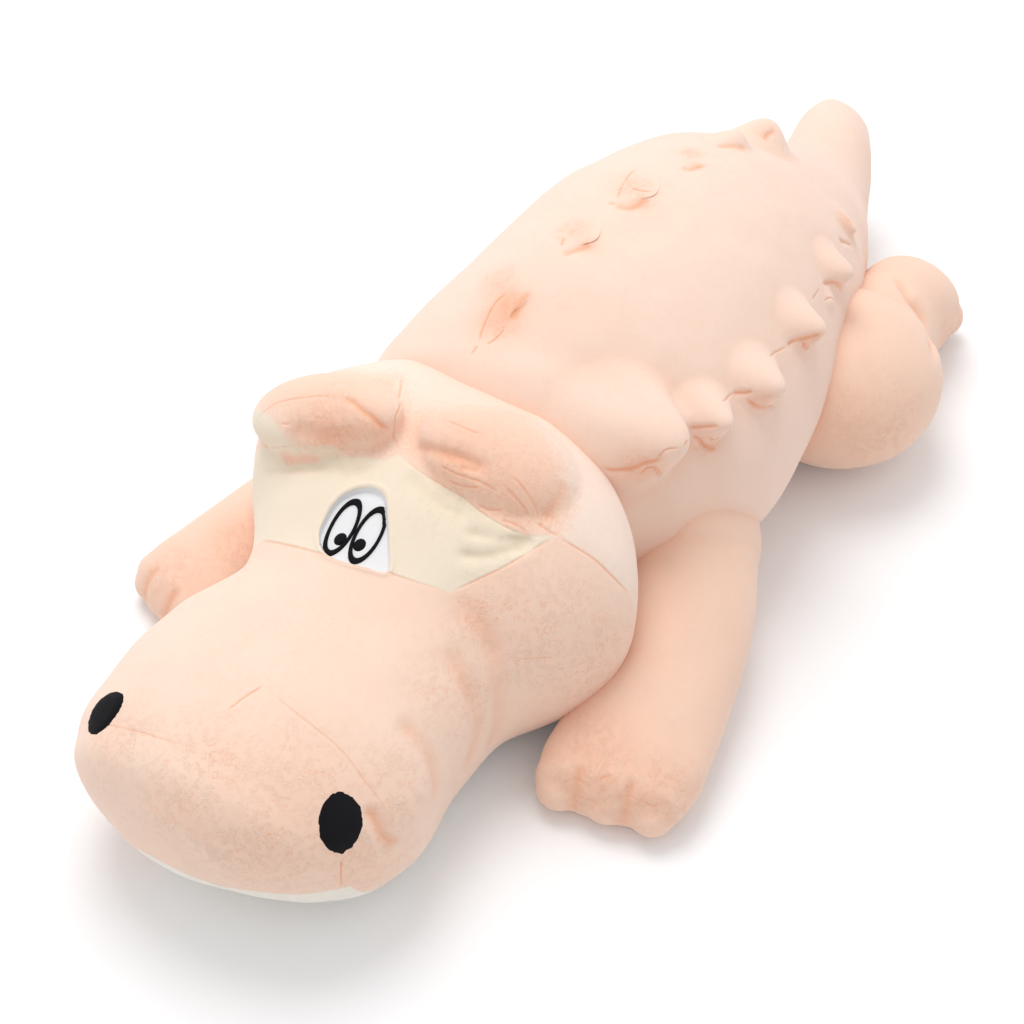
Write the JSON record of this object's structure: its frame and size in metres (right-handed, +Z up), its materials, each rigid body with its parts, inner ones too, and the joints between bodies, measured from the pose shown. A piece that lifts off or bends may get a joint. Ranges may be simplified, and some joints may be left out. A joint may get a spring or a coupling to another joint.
{
  "type": "plush crocodile",
  "caption": "Large lying plush crocodile: broad snout, two stuffed brows, a round back with two rows of soft spines, short legs that swing and a head that turns and nods.",
  "frame": {"origin": "middle of the footprint on the floor", "axes": "+Y from the nose towards the tail, +X to the crocodile's left, +Z up"},
  "size_m": [0.4822, 1.0014, 0.2939],
  "materials": {
    "peach_pile": "short peach plush pile",
    "cream_pile": "short cream plush pile",
    "pale_pile": "short pale plush pile",
    "white_felt": "flat white felt",
    "black_thread": "satin stitched black thread",
    "fibre_stuffing": "polyester fibre stuffing"
  },
  "bodies": {
    "body": {"body_cover": "peach_pile", "belly_panel": "pale_pile", "body_stuffing": "fibre_stuffing", "spine_left_1": "peach_pile", "spine_left_2": "peach_pile", "spine_left_3": "peach_pile", "spine_left_4": "peach_pile", "spine_left_5": "peach_pile", "spine_left_6": "peach_pile", "spine_right_1": "peach_pile", "spine_right_2": "peach_pile", "spine_right_3": "peach_pile", "spine_right_4": "peach_pile", "spine_right_5": "peach_pile", "spine_right_6": "peach_pile"},
    "neck": {"neck_stuffing": "fibre_stuffing"},
    "head": {"brow_left": "peach_pile", "brow_right": "peach_pile", "chin_panel": "pale_pile", "eye_panel": "cream_pile", "eye_ring_left": "black_thread", "eye_ring_right": "black_thread", "eye_white": "white_felt", "head_cover": "peach_pile", "head_stuffing": "fibre_stuffing", "nostril_left": "black_thread", "nostril_right": "black_thread", "pupil_left": "black_thread", "pupil_right": "black_thread"},
    "front_leg_left": {"front_leg_left_cover": "peach_pile", "front_leg_left_stuffing": "fibre_stuffing"},
    "front_leg_right": {"front_leg_right_cover": "peach_pile", "front_leg_right_stuffing": "fibre_stuffing"},
    "hind_leg_left": {"hind_leg_left_cover": "peach_pile", "hind_leg_left_stuffing": "fibre_stuffing"},
    "hind_leg_right": {"hind_leg_right_cover": "peach_pile", "hind_leg_right_stuffing": "fibre_stuffing"}
  },
  "joints": [
    {"name": "head_turn", "type": "hinge", "parent": "body", "child": "neck", "pos_m": [-0.0446, -0.11952, 0.113], "axis": [0, 0, 1], "range_deg": [-4, 8], "stiffness_Nm_per_rad": 0.3},
    {"name": "head_nod", "type": "hinge", "parent": "neck", "child": "head", "pos_m": [-0.0446, -0.11952, 0.113], "axis": [-0.972, -0.2351, 0], "range_deg": [0, 9], "stiffness_Nm_per_rad": 0.3},
    {"name": "front_leg_left_swing", "type": "hinge", "parent": "body", "child": "front_leg_left", "pos_m": [0.10346, -0.0026, 0], "axis": [0, 0, 1], "range_deg": [0, 18], "stiffness_Nm_per_rad": 0.3},
    {"name": "front_leg_right_swing", "type": "hinge", "parent": "body", "child": "front_leg_right", "pos_m": [-0.16255, -0.05445, 0], "axis": [0, 0, 1], "range_deg": [-18, 0], "stiffness_Nm_per_rad": 0.3},
    {"name": "hind_leg_left_swing", "type": "hinge", "parent": "body", "child": "hind_leg_left", "pos_m": [0.07952, 0.23137, 0], "axis": [0, 0, 1], "range_deg": [-15, 5], "stiffness_Nm_per_rad": 0.3},
    {"name": "hind_leg_right_swing", "type": "hinge", "parent": "body", "child": "hind_leg_right", "pos_m": [-0.16058, 0.24041, 0], "axis": [0, 0, 1], "range_deg": [-5, 15], "stiffness_Nm_per_rad": 0.3}
  ]
}
